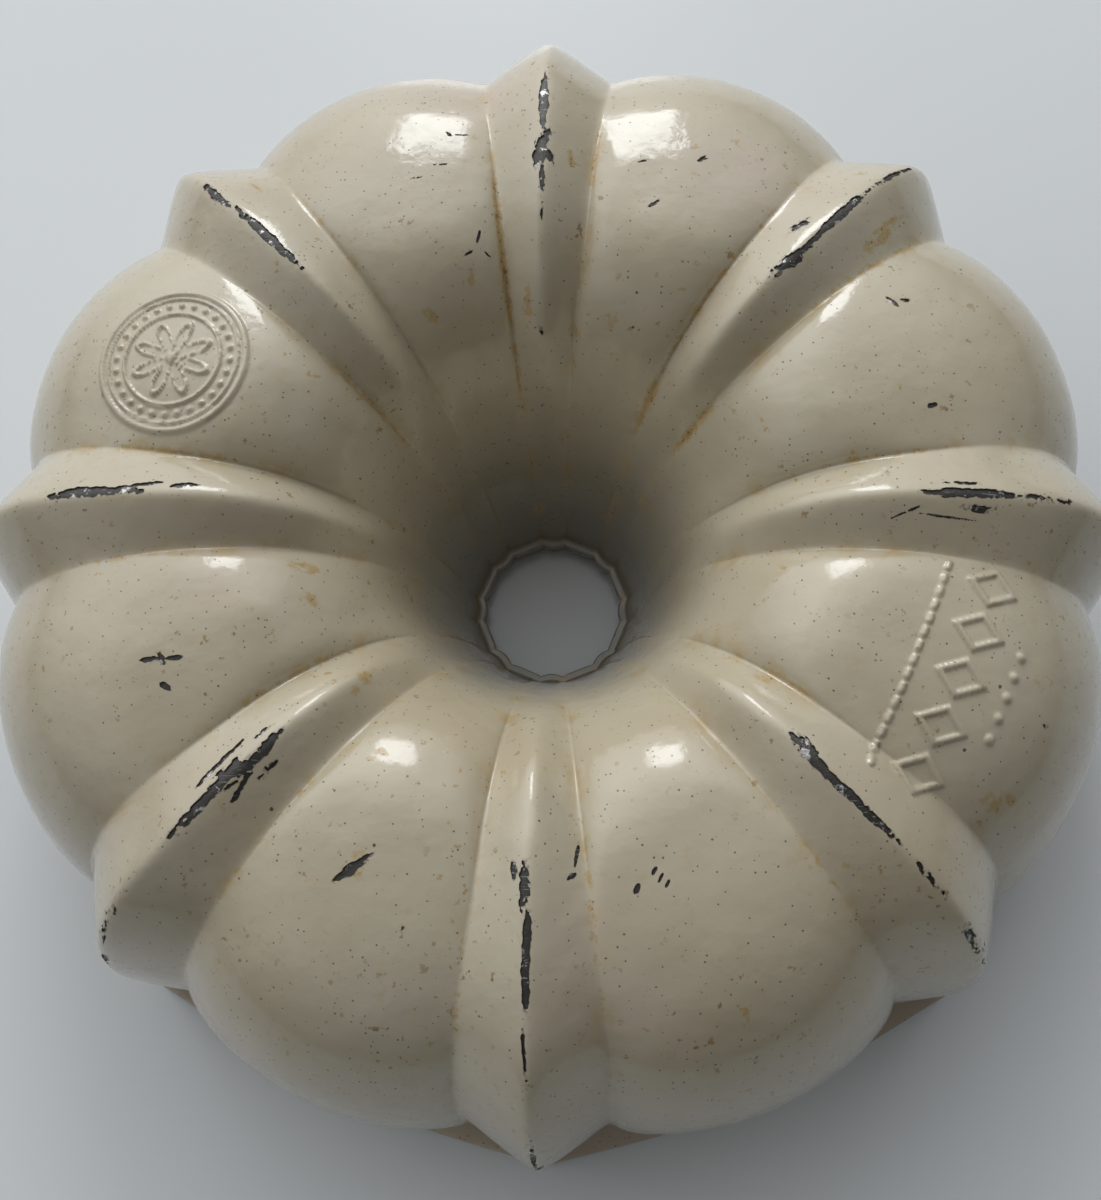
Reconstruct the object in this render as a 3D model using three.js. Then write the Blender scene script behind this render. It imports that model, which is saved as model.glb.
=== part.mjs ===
// Fluted ring cake pan: one aluminium casting with an enamel coat outside and a non-stick coat inside.
// Millimetres, +Z up. The pan lies crown up, with its mouth plane at z = 0 and its axis on Z.
import * as THREE from 'three';

// Fluting: eight pointed ridges, each between two grooves, with a full round lobe in every gap.
const RIDGES = 8;
const CELL = (2 * Math.PI) / RIDGES;

// Casting.
const WALL = 3.2;
const FLANGE_THICK = 2.8;
const FLANGE_TIP_R = 129.4;
const FLANGE_MID_R = 124.6;
const LEDGE_WIDTH = 2.2;
const LEDGE_THICK = 2.0;
const TUBE_END_Z = 3.0;
const LEDGE_TOP_Z = TUBE_END_Z + LEDGE_THICK;

// Coats. Each stands a hair off the metal, so that the two never share a face.
const COAT_GAP = 0.3;
const COAT_THICK = 0.35;
const COAT_RIM_Z = 0.9;
const COAT_END_LIFT = 1.0;

// Radial sections of the outside, as [radius, height] handles of two Bezier curves: from the
// flange up the wall to the top of the crown, then down the tube to the ledge at its end.
const CREST = {
  wall: [[128.0, FLANGE_THICK], [126.4, 56], [121.2, 88.4], [73, 88.4]],
  tube: [[73, 88.4], [41, 88.4], [31, 57], [19.2, LEDGE_TOP_Z]],
};
const GROOVE = {
  wall: [[118.0, FLANGE_THICK], [118.0, 40], [117.4, 82.4], [76, 82.4]],
  tube: [[76, 82.4], [43, 82.4], [26.5, 54], [20.2, LEDGE_TOP_Z]],
};
const LOBE = {
  wall: [[122.0, FLANGE_THICK], [130.0, 79], [100.5, 86], [66, 86]],
  tube: [[66, 86], [42, 86], [30, 54], [19.4, LEDGE_TOP_Z]],
};

// Half the width of a ridge between its grooves, measured along the arc, with the same handles.
const RIDGE_HALF_WIDTH = { wall: [13.2, 15.6, 16.2, 10.7], tube: [10.7, 7.5, 3.4, 3.4] };

// Stations along a section and around one cell. The crest is a narrow blunt band.
const WALL_STEPS = 7;
const TUBE_STEPS = 6;
const CREST_BAND = 0.1;
const LOBE_STATIONS = [0.14, 0.45, 1];

const bezier = (a, b, c, d, t) => {
  const s = 1 - t;
  return s ** 3 * a + 3 * s * s * t * b + 3 * s * t * t * c + t ** 3 * d;
};

// Value of a two-part curve at u, where 0..1 runs along the wall and 1..2 along the tube.
function along(curve, u, pick = (handle) => handle) {
  const handles = u <= 1 ? curve.wall : curve.tube;
  return bezier(...handles.map(pick), u <= 1 ? u : u - 1);
}

const section = (curve, u) => new THREE.Vector2(along(curve, u, (h) => h[0]), along(curve, u, (h) => h[1]));

// One cell's stations, from a crest to the next. Each has a place on a ridge's flank (0 at the
// crest, 1 at the groove) or on a lobe's flank (0 at the groove, 1 at the lobe's middle).
function cellStations() {
  const risingFlank = [{ ridge: 0 }, { ridge: CREST_BAND }, { ridge: 1 }];
  const risingLobe = LOBE_STATIONS.map((lobe) => ({ lobe }));
  const half = [...risingFlank, ...risingLobe].map((s) => ({ ...s, side: 1 }));
  const mirrored = half.slice(1, -1).reverse().map((s) => ({ ...s, side: -1 }));
  return [...half, ...mirrored];
}

const STATIONS = cellStations();
const AROUND = RIDGES * STATIONS.length;

// Angle from the nearest crest, and a section blended for the station, at distance u along it.
function flutedPoint(station, u) {
  const groove = section(GROOVE, u);
  const grooveAngle = along(RIDGE_HALF_WIDTH, u) / groove.x;
  if (station.ridge !== undefined) {
    const flank = Math.max(0, (station.ridge - CREST_BAND) / (1 - CREST_BAND));
    return { angle: grooveAngle * station.ridge, point: section(CREST, u).lerp(groove, flank) };
  }
  const swell = Math.sqrt(1 - (1 - station.lobe) ** 2);
  const angle = grooveAngle + (CELL / 2 - grooveAngle) * station.lobe;
  return { angle, point: groove.lerp(section(LOBE, u), swell) };
}

// The flange's edge is nearly an octagon, with a corner at each ridge.
function flangeRadius(angle) {
  const octagon = (FLANGE_TIP_R * Math.cos(CELL / 2)) / Math.cos(CELL / 2 - angle);
  const bow = (FLANGE_MID_R - FLANGE_TIP_R * Math.cos(CELL / 2)) * Math.sin((Math.PI * angle) / CELL);
  return octagon + bow;
}

// A ring of points: radiusHeight gives [radius, height] for a station, all placed around the axis.
function ring(u, radiusHeight) {
  const points = [];
  for (let i = 0; i < AROUND; i += 1) {
    const station = STATIONS[i % STATIONS.length];
    const cell = Math.floor(i / STATIONS.length) + (station.side < 0 ? 1 : 0);
    const { angle, point } = flutedPoint(station, u);
    const [radius, height] = radiusHeight(point, angle);
    const turn = cell * CELL + station.side * angle;
    points.push(new THREE.Vector3(radius * Math.cos(turn), radius * Math.sin(turn), height));
  }
  return points;
}

const flangeRing = (height) => ring(0, (point, angle) => [flangeRadius(angle), height]);

// Rings of the fluted outside, from the foot of the wall to the ledge in the tube.
function flutedRings() {
  const steps = WALL_STEPS + TUBE_STEPS;
  return Array.from({ length: steps + 1 }, (_, i) => {
    const u = i <= WALL_STEPS ? i / WALL_STEPS : 1 + (i - WALL_STEPS) / TUBE_STEPS;
    return ring(u, (point) => [point.x, point.y]);
  });
}

// Moves every point of a stack of rings along the surface's own normal. The rings run from the rim
// to the tube and turn anticlockwise, so the normal points out of the pan.
function offsetRings(rings, distance) {
  return rings.map((points, r) => points.map((point, i) => {
    const next = rings[Math.min(r + 1, rings.length - 1)][i];
    const last = rings[Math.max(r - 1, 0)][i];
    const ahead = points[(i + 1) % AROUND];
    const behind = points[(i - 1 + AROUND) % AROUND];
    const across = ahead.clone().sub(point).normalize().add(point.clone().sub(behind).normalize());
    const up = next.clone().sub(point).normalize().add(point.clone().sub(last).normalize());
    return point.clone().addScaledVector(across.cross(up).normalize(), distance);
  }));
}

const withHeight = (points, height) => points.map((p) => new THREE.Vector3(p.x, p.y, height));

const drawnIn = (points, inset, height) => points.map((p) => {
  const scale = 1 - inset / Math.hypot(p.x, p.y);
  return new THREE.Vector3(p.x * scale, p.y * scale, height);
});

// A closed ring-shaped solid through a loop of rings: out along one face, back along the other. The
// way back has its triangles' diagonals mirrored, so that both faces are cut alike, and so has the
// near half of each cell, so that a ridge's two flanks match.
function solidThrough(out, back) {
  const loop = [...out, ...back];
  const index = [];
  loop.forEach((_, r) => {
    for (let i = 0; i < AROUND; i += 1) {
      const nearHalf = i % STATIONS.length < STATIONS.length / 2;
      const mirrored = (r >= out.length) !== nearHalf;
      const here = r * AROUND;
      const there = ((r + 1) % loop.length) * AROUND;
      const j = (i + 1) % AROUND;
      const [a, b, c, d] = [here + i, here + j, there + j, there + i];
      index.push(...(mirrored ? [a, b, d, b, c, d] : [a, b, c, a, c, d]));
    }
  });
  return new THREE.BufferGeometry().setFromPoints(loop.flat()).setIndex(index);
}

// A coat over a stack of rings, on the side that direction (+1 out, -1 in) points to.
function coatOver(rings, direction) {
  const near = offsetRings(rings, direction * COAT_GAP);
  const far = offsetRings(rings, direction * (COAT_GAP + COAT_THICK));
  return direction > 0 ? solidThrough(far, near.reverse()) : solidThrough(near, far.reverse());
}

const outside = flutedRings();
const inside = offsetRings(outside, -WALL);
const tubeEnd = outside[outside.length - 1];
const footInside = drawnIn(outside[0], WALL, 0);
const tubeFoot = drawnIn(tubeEnd, -WALL, TUBE_END_Z);

function castingGeometry() {
  const ledge = [drawnIn(tubeEnd, LEDGE_WIDTH, LEDGE_TOP_Z), drawnIn(tubeEnd, LEDGE_WIDTH, TUBE_END_Z)];
  const lining = inside.slice(1, -1).reverse();
  return solidThrough(
    [flangeRing(0), flangeRing(FLANGE_THICK), ...outside, ...ledge],
    [tubeFoot, ...lining, footInside],
  );
}

function enamelGeometry() {
  const tail = withHeight(tubeEnd, LEDGE_TOP_Z + COAT_END_LIFT);
  const path = [flangeRing(COAT_RIM_Z), flangeRing(FLANGE_THICK), ...outside.slice(0, -1), tail];
  return coatOver(path, 1);
}

function nonstickGeometry() {
  const foot = withHeight(footInside, COAT_RIM_Z);
  const tail = withHeight(tubeFoot, TUBE_END_Z + COAT_END_LIFT);
  return coatOver([foot, ...inside.slice(1, -1), tail], -1);
}

const MATERIALS = {
  casting: { color: 0x8f9194, roughness: 0.45, metalness: 1.0 },
  enamel: { color: 0xb9b09c, roughness: 0.18, metalness: 0.0 },
  nonstick: { color: 0x2f3032, roughness: 0.5, metalness: 0.0 },
};

function part(name, geometry, material) {
  const mesh = new THREE.Mesh(geometry, new THREE.MeshStandardMaterial(material));
  mesh.name = name;
  return mesh;
}

const pan = new THREE.Group();
pan.name = 'fluted_ring_pan';
pan.add(part('casting', castingGeometry(), MATERIALS.casting));
pan.add(part('enamel_coat', enamelGeometry(), MATERIALS.enamel));
pan.add(part('nonstick_coat', nonstickGeometry(), MATERIALS.nonstick));

export default pan;
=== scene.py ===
"""Looks of the fluted ring cake pan: a chipped, stained cream enamel over a dark casting."""

import math
from collections import namedtuple

import bpy
import numpy as np
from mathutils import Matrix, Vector


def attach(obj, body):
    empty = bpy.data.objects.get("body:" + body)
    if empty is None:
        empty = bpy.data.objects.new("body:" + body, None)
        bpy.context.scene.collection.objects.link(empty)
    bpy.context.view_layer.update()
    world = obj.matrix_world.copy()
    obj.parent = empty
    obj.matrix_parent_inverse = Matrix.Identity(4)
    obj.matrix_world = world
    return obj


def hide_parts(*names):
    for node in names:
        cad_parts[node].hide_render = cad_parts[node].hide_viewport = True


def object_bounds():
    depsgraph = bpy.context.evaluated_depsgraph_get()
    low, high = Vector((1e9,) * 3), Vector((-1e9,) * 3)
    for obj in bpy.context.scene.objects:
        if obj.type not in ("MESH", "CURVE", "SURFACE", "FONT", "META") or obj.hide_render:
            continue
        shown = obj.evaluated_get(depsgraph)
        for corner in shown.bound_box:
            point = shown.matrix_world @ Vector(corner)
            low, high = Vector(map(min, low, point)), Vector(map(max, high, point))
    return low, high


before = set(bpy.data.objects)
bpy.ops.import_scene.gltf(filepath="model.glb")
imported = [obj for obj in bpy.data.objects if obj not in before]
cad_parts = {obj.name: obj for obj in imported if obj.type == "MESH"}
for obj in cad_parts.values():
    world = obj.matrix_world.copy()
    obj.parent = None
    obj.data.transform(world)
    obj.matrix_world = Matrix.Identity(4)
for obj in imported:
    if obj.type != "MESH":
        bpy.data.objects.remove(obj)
CAD_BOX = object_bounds()
MM = 0.001


# ---------------------------------------------------------------- sizes and places

# Fluting, as in the casting: millimetres, w counts cells of 45 degrees anticlockwise from +X.
RIDGES = 8
CELL = 2 * math.pi / RIDGES
FLANGE_THICK = 2.8
FLANGE_TIP_R = 129.4
FLANGE_MID_R = 124.6
LEDGE_WIDTH = 2.2
LEDGE_TOP_Z = 5.0
TUBE_END_Z = 3.0
COAT_RIM_Z = 0.9
COAT_END_LIFT = 1.0

# Outside sections as [radius, height] Bezier handles: up the wall, then down the tube. A place u
# along a section runs 0..1 on the wall and 1..2 in the tube.
CREST = (
    ((128.0, FLANGE_THICK), (126.4, 56.0), (121.2, 88.4), (73.0, 88.4)),
    ((73.0, 88.4), (41.0, 88.4), (31.0, 57.0), (19.2, LEDGE_TOP_Z)),
)
GROOVE = (
    ((118.0, FLANGE_THICK), (118.0, 40.0), (117.4, 82.4), (76.0, 82.4)),
    ((76.0, 82.4), (43.0, 82.4), (26.5, 54.0), (20.2, LEDGE_TOP_Z)),
)
LOBE = (
    ((122.0, FLANGE_THICK), (130.0, 79.0), (100.5, 86.0), (66.0, 86.0)),
    ((66.0, 86.0), (42.0, 86.0), (30.0, 54.0), (19.4, LEDGE_TOP_Z)),
)
RIDGE_HALF_WIDTH = ((13.2, 15.6, 16.2, 10.7), (10.7, 7.5, 3.4, 3.4))

# How far each skin lies from the casting's nominal outside, and how deep the lining lies on a
# crest, in a groove and on a lobe, measured in the section's own plane.
ENAMEL_RISE = 0.65
METAL_RISE = 0.3
METAL_DEPTH = (4.3, 2.8, 3.2)
NONSTICK_DEPTH = (4.95, 3.45, 3.85)

# How far the walls of the chips sink into the metal, how far the non-stick coat's edges slope, and
# how far the metal behind the lining stands straight up from the tube's end.
WALL_SINK = 0.05
COAT_TUCK = 0.1
TUBE_LIP = 0.8

# Slow unevenness of the outside: its height, its waves to a cell and to the wall, its seed, and how
# quickly it grows from nothing at the foot and at the tube's end. The noise repeats once round.
WAVINESS = 0.13
WAVES_PER_CELL = 8
WAVES_PER_WALL = 7
WAVE_SEED = 3
WAVE_GROWTH = 8
NOISE_PERIOD = RIDGES * WAVES_PER_CELL

# Soft edges: radii and a chamfer in millimetres, and shares of a ridge's or lobe's flank.
FOOT_FILLET = 1.5
EDGE_ROUND = 1.1
LEDGE_FILLET = 0.8
LEDGE_ROUND = 0.6
RIM_CHAMFER = 0.6
CREST_SOFT_AT = (0, 0.7, 1, 1.6, 2)
CREST_SOFT = (0.08, 0.1, 0.18, 0.4, 2.5)
RIDGE_FILLET = 0.1
LOBE_FILLET = 0.012

# Where the fillet, the flat and the rounded edge of a step end, as shares of its run, and the
# largest share of the flange that the fillet or the rounded edge may take.
FILLET_END = 0.3
FLAT_END = 0.6
ROUND_END = 0.9
LARGEST_ROUND = 0.45

# Stations around half a cell (shares of the ridge's flank, then of the lobe's) and along a section.
# Below 0 they lie on the flange and above 2 on the ledge.
FLANK_STATIONS = (0, 0.05, 0.1, 0.16, 0.26, 0.4, 0.55, 0.7, 0.82, 0.9, 0.96, 1)
LOBE_STATIONS = (0.012, 0.03, 0.06, 0.1, 0.16, 0.24, 0.34, 0.46, 0.59, 0.73, 0.87, 1)
WALL_PLACES = np.linspace(0.03, 1, 50)
TUBE_PLACES = np.linspace(1, 1.97, 28)[1:]
FLANGE_PLACES = -np.array([1, 0.9, 0.85, 0.8, 0.75, 0.7, 0.65, 0.6, 0.45, 0.3, 0.2, 0.1, 0])
LEDGE_PLACES = 2 + np.array([0, 0.1, 0.2, 0.3, 0.45, 0.6, 0.7, 0.8, 0.9, 1])
OUTSIDE_PLACES = np.concatenate([FLANGE_PLACES, WALL_PLACES, TUBE_PLACES, LEDGE_PLACES])

# Longest mesh edges in mm, on the raised marks and at a chip's edge. Beyond a chip they grow by
# EDGE_GROWTH for each mm, as far out as CHIP_REACH. An edge is halved when TOO_LONG times as long.
RELIEF_EDGE = 0.48
CHIP_EDGE = 0.38
CHIP_REACH = 1.5
EDGE_GROWTH = 3
TOO_LONG = 1.4
HALVINGS = 6

# How far a mark's short edges go, as shares of its half length and half width. They end at
# RELIEF_MARGIN times the larger of the two in any direction.
RELIEF_SPREAD = 1.05
RELIEF_MARGIN = 1.4
CHIP_SPREAD = 1.15


# ---------------------------------------------------------------- chips, stains and raised marks

Mark = namedtuple("Mark", "azimuth along lean half_length half_width gain slant", defaults=(0,))

# Chips in the enamel. Azimuth of the ridge in degrees, place along its section, degrees off the
# ridge, half length and half width in mm, how solid the chip is, and its slant in degrees.
CREST_CHIPS = (
    Mark(90, 0.88, 0.0, 10, 1.2, 2.8),
    Mark(90, 0.98, 0.3, 6, 2.0, 2.1, 10),
    Mark(90, 0.99, -1.0, 4, 1.0, 1.7, -25),
    Mark(90, 1.06, 0.0, 8, 0.7, 1.5),
    Mark(45, 0.74, 0.0, 13, 0.8, 1.9),
    Mark(45, 0.91, -0.2, 14, 1.2, 2.5),
    Mark(45, 1.03, -0.5, 6, 1.6, 2.2, 12),
    Mark(45, 0.97, 3.0, 4, 1.8, 1.25),
    Mark(0, 0.94, 0.0, 11, 1.3, 2.5),
    Mark(0, 0.80, 0.0, 9, 1.0, 1.25),
    Mark(0, 0.95, 1.5, 6, 0.6, 1.6, -8),
    Mark(0, 0.92, -2.0, 5, 0.9, 1.7, 12),
    Mark(0, 0.97, -3.2, 7, 0.3, 2.6, 16),
    Mark(0, 1.04, -2.9, 5, 0.3, 2.6, -14),
    Mark(-45, 0.94, -0.2, 15, 1.1, 2.5),
    Mark(-45, 1.03, 0.3, 7, 1.7, 2.1, 9),
    Mark(-45, 0.76, 0.0, 8, 0.9, 1.2),
    Mark(-45, 0.58, 0.0, 9, 1.6, 1.4),
    Mark(-45, 0.48, 0.4, 6, 1.1, 1.4),
    Mark(-90, 0.90, -0.2, 11, 1.1, 2.4, 3),
    Mark(-90, 0.99, -0.6, 6, 1.3, 1.8, 4),
    Mark(-90, 1.03, -2.3, 3, 0.8, 2.0),
    Mark(-90, 0.76, -0.4, 10, 0.5, 1.15),
    Mark(-90, 0.42, 0.0, 16, 0.8, 1.2),
    Mark(-90, 0.30, 0.3, 6, 1.4, 1.5),
    Mark(225, 0.91, 0.1, 11, 1.3, 2.2),
    Mark(225, 0.97, -0.2, 6, 2.6, 1.55, 12),
    Mark(225, 1.03, 0.6, 6, 1.3, 2.0, -10),
    Mark(225, 0.97, -2.6, 9, 0.7, 1.9, 6),
    Mark(225, 1.05, -1.8, 4, 0.8, 1.7, 14),
    Mark(225, 0.97, 2.1, 5, 0.8, 1.7, -24),
    Mark(225, 1.02, 3.0, 3, 0.9, 1.6, -10),
    Mark(225, 0.60, 0.0, 13, 1.3, 1.3),
    Mark(225, 0.40, 0.2, 9, 1.4, 1.35),
    Mark(180, 0.90, -0.5, 13, 1.5, 2.3, 3),
    Mark(180, 0.98, -1.5, 5, 0.7, 1.6),
    Mark(180, 1.05, -1.4, 3, 1.0, 1.6),
    Mark(135, 0.80, 0.3, 7, 1.3, 2.0),
    Mark(135, 0.95, 0.0, 14, 1.3, 2.4),
)
LOBE_CHIPS = (
    Mark(225, 0.88, 20.5, 4.4, 0.9, 2.6, 39),
    Mark(225, 0.90, 20.9, 4.0, 0.6, 2.4, 39),
    Mark(225, 0.865, -21.0, 2.5, 0.8, 2.2, 13),
    Mark(225, 0.89, -20.4, 1.9, 0.8, 2.0, 84),
    Mark(225, 0.915, -19.6, 2.3, 0.7, 2.0, 12),
    Mark(225, 0.885, -16.5, 1.5, 0.9, 2.0, 60),
    Mark(-90, 1.07, 6.9, 3.2, 0.6, 2.0, 10),
    Mark(-90, 1.03, 6.0, 1.6, 0.9, 1.8, 60),
    Mark(-90, 0.92, 14.5, 1.3, 0.5, 3.0, 50),
    Mark(-90, 0.93, 17.4, 1.2, 0.4, 3.0, 50),
    Mark(-90, 0.915, 18.0, 1.3, 0.4, 3.0, 50),
    Mark(-90, 0.90, 18.6, 1.2, 0.4, 3.0, 50),
    Mark(-90, 0.83, -15.5, 1.8, 0.6, 1.6, -30),
    Mark(-45, 0.58, 21.0, 1.4, 0.8, 1.6),
    Mark(0, 0.89, 14.2, 1.5, 0.7, 1.6, 20),
    Mark(45, 0.86, -14.2, 2.0, 0.9, 1.7, 70),
    Mark(45, 0.83, -14.8, 1.6, 0.7, 1.6),
    Mark(45, 0.84, 21.2, 1.9, 0.8, 1.8, 40),
    Mark(90, 0.90, -15.5, 1.7, 0.8, 1.7, 60),
    Mark(90, 0.98, -19.8, 1.9, 0.8, 1.7, 30),
    Mark(90, 0.90, 16.0, 2.6, 0.3, 2.6, 100),
    Mark(90, 0.91, 19.5, 3.2, 0.3, 2.4, 100),
    Mark(90, 0.85, 12.2, 1.6, 0.5, 2.0, 100),
    Mark(90, 1.12, 12.8, 2.4, 0.35, 2.4, 40),
    Mark(90, 1.15, 15.6, 2.2, 0.35, 2.4, 75),
    Mark(90, 1.17, 12.0, 2.0, 0.3, 2.4, -30),
    Mark(90, 0.83, 13.8, 1.2, 0.7, 1.7),
    Mark(90, 1.41, 0.8, 1.5, 0.9, 1.7),
)

# Baking stains along the grooves: azimuth of the ridge, which of its grooves (1 is anticlockwise),
# middle and half length along the section, half width in mm, and strength.
Streak = namedtuple("Streak", "azimuth side along half_along half_width gain")
GROOVE_STAINS = (
    Streak(90, 1, 0.90, 0.12, 0.9, 1.0),
    Streak(90, 1, 1.18, 0.30, 1.7, 1.25),
    Streak(90, 1, 1.50, 0.25, 1.8, 1.0),
    Streak(90, -1, 0.97, 0.15, 1.5, 1.15),
    Streak(90, -1, 1.30, 0.4, 1.6, 0.9),
    Streak(135, 1, 1.35, 0.25, 2.0, 1.0),
    Streak(135, -1, 0.95, 0.45, 3.0, 0.85),
    Streak(45, 1, 1.20, 0.45, 1.8, 0.95),
    Streak(45, 1, 1.50, 0.14, 2.2, 1.15),
    Streak(45, -1, 1.47, 0.12, 2.2, 1.15),
    Streak(45, -1, 0.90, 0.4, 3.5, 0.9),
    Streak(180, -1, 0.95, 0.4, 3.0, 0.9),
    Streak(180, 1, 0.95, 0.4, 2.5, 0.85),
    Streak(225, -1, 1.20, 0.4, 2.5, 0.9),
    Streak(225, 1, 1.00, 0.5, 2.0, 0.85),
    Streak(-90, 1, 0.95, 0.4, 2.0, 0.9),
    Streak(-90, -1, 0.80, 0.5, 2.5, 0.85),
    Streak(0, 1, 1.10, 0.35, 2.0, 0.9),
    Streak(0, -1, 1.20, 0.3, 2.0, 0.9),
    Streak(-45, 1, 1.15, 0.35, 2.0, 0.85),
    Streak(-45, -1, 0.85, 0.5, 2.0, 0.85),
)

# Baking stains in patches. The columns are those of the chips. A patch ends at STAIN_MARGIN times
# the larger of its half length and half width in any direction.
STAIN_MARGIN = 1.1
STAINS = (
    Mark(90, 0.99, -4.5, 5, 2.5, 1.3),
    Mark(90, 1.34, 4.0, 11, 3.0, 1.05, 25),
    Mark(90, 1.22, 16.5, 7, 3.0, 1.0, 30),
    Mark(90, 1.33, -18.0, 6, 4.5, 1.02, 20),
    Mark(135, 1.28, -17.0, 6, 4.0, 1.02, -20),
    Mark(135, 0.84, -4.5, 12, 3.0, 1.0),
    Mark(45, 0.86, -5.0, 16, 4.5, 1.05),
    Mark(180, 1.30, 14.0, 9, 4.0, 0.98, 20),
    Mark(180, 1.28, 22.0, 7, 4.5, 1.0, -15),
    Mark(225, 1.32, 1.5, 10, 4.0, 1.0),
    Mark(225, 1.15, 15.0, 3, 3.5, 1.3),
    Mark(225, 0.70, 14.0, 8, 7.0, 0.9),
    Mark(0, 0.62, -20.0, 8, 8.0, 0.85),
    Mark(-45, 1.25, 6.0, 10, 3.5, 0.95),
    Mark(-45, 0.62, 12.0, 8, 5.5, 1.05),
    Mark(-45, 0.55, 6.0, 9, 3.0, 1.0),
    Mark(-90, 0.90, -24.0, 12, 8.0, 0.85),
)

# How far dirt spreads from the bottom of a groove, in mm, and how far out the flange's own tint is
# full, as a share of the flange.
GROOVE_DIRT_SPREAD = 2.2
FLANGE_FADE = 0.25

# Tatters along the edges of the chips, coarse and fine: length and width in mm, strength, and the
# first chip's seed. Each chip lies CHIP_SPACING further on in the noise.
Tatters = namedtuple("Tatters", "length width strength first_seed")
RAGS = Tatters(1.9, 0.9, 0.8, 0)
GRAINS = Tatters(0.6, 0.45, 0.6, 100)
CHIP_SPACING = 7

# Raised marks left by the mould: a round medallion and a panel of lozenges, and their height.
MEDALLION = Mark(158, 0.86, 0, 16.5, 16.5, 1)
LOZENGES = Mark(-24, 0.80, 0, 14, 26, 1)
RELIEF = 0.55

# The medallion in mm: rings and their lines' half widths, beads, petals and the boss.
MEDALLION_RINGS = ((15.4, 0.75), (13.9, 0.35), (10.2, 0.4))
BEADS = 28
BEAD_RING = 12.2
BEAD_RADIUS = 0.75
PETALS = 8
PETAL_LENGTH = 8.2
PETAL_LINE = 0.8
BOSS_RADIUS = 1.4

# The panel's rows in mm: how far a row lies off the middle, its spacing, how many things there are
# on each side of the middle one, and half the width of their line. A lozenge's outline runs at
# LOZENGE_OUTLINE of its half size, and one half size counts as LOZENGE_SCALE mm.
Row = namedtuple("Row", "offset spacing each_side half_line")
LOZENGE_ROW = Row(0, 9.6, 2, 0.75)
LOZENGE_HALF_SIZE = (5.0, 3.9)
LOZENGE_OUTLINE = 0.88
LOZENGE_SCALE = 3.2
DASH_ROW = Row(9.2, 2.9, 7, 0.7)
DASH_HALF_LENGTH = 0.6
DOT_ROW = Row(-9.4, 4.2, 2, 1.1)


# ---------------------------------------------------------------- looks

# Colours, as linear red, green and blue.
CREAM, SANDY, PINK = (0.51, 0.455, 0.338), (0.465, 0.40, 0.285), (0.54, 0.43, 0.355)
AMBER, BROWN, GRIME = (0.43, 0.295, 0.11), (0.22, 0.125, 0.045), (0.07, 0.06, 0.05)
# Painted shade: the dark colour that the enamel takes down the deep tube stands in for the shade there.
TUBE_PAINTED_SHADE = (0.20, 0.195, 0.165)
OXIDE, DULL, BRIGHT = (0.023, 0.021, 0.019), (0.075, 0.071, 0.066), (0.56, 0.55, 0.54)
NONSTICK_GREY, NONSTICK_LIGHT = (0.036, 0.037, 0.039), (0.2, 0.2, 0.205)
BAKING_FILM = (0.085, 0.062, 0.04)
TABLE_WHITE, TABLE_PALE = (0.70, 0.73, 0.75), (0.74, 0.77, 0.785)

# Noise: the size of its features in mm, its detail and its roughness.
Noise = namedtuple("Noise", "size detail rough", defaults=(0.5,))
BURN_NOISE = Noise(2.6, 6, 0.78)
DEEP_BURN_NOISE = Noise(0.8, 4, 0.75)
PEEL_NOISE = Noise(2.4, 2)
SWELL_NOISE = Noise(9, 1)
METAL_NOISE = Noise(1.5, 4, 0.7)
PIT_NOISE = Noise(0.5, 4, 0.7)
NONSTICK_NOISE = Noise(0.7, 3)

# A range of values, and what its two ends are brought to. Beyond the ends nothing changes.
Range = namedtuple("Range", "low high to_low to_high", defaults=(0, 1))
BURN = Range(0.42, 0.5)
DEEP_BURN = Range(1.1, 1.22)
# DOWN_THE_TUBE says where along the section the painted shade of the tube grows.
DOWN_THE_TUBE = Range(1.5, 1.9, 0, 0.8)
ROUND_A_CHIP = Range(-0.55, 0, 0, 0.75)
UNDER_THE_RIM = Range(0.8 * MM, 1.4 * MM, 0.75, 0)
METALLIC = Range(0, 1, 0.35, 1.0)
SCRATCH = Range(0.66, 0.7)

# Patterns of noise, each with its range.
ENAMEL_TONE = Noise(38, 3), Range(0.4, 0.68)
ENAMEL_BLUSH = Noise(61, 2), Range(0.58, 0.75, 0, 0.5)
ENAMEL_MOTTLE = Noise(5, 5, 0.65), Range(0.58, 0.72, 0, 0.2)
ENAMEL_ROUGHNESS = Noise(11, 4, 0.6), Range(0.35, 0.7, 0.1, 0.2)
GROOVE_DIRT = Noise(7, 4, 0.6), Range(0.5, 0.68, 0, 0.55)
FLECKS = Noise(2.2, 3, 0.62), Range(0.64, 0.68)
FLECK_CLUSTERS = Noise(21, 2), Range(0.42, 0.58, 0, 0.8)
FLECK_TONE = Noise(8, 1), Range(0.4, 0.65)
CHIP_GRIME = Noise(0.8, 3), Range(0.42, 0.6)
METAL_RUBBED = Noise(3.4, 5, 0.7), Range(0.575, 0.63)
METAL_ROUGHNESS = Noise(0.9, 3), Range(0.3, 0.7, 0.5, 0.28)
NONSTICK_FILM = Noise(26, 4), Range(0.5, 0.72, 0, 0.6)
NONSTICK_ROUGHNESS = Noise(9, 3), Range(0.3, 0.7, 0.34, 0.52)
TABLE_TONE = Noise(400, 2), Range(0.3, 0.7)

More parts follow.
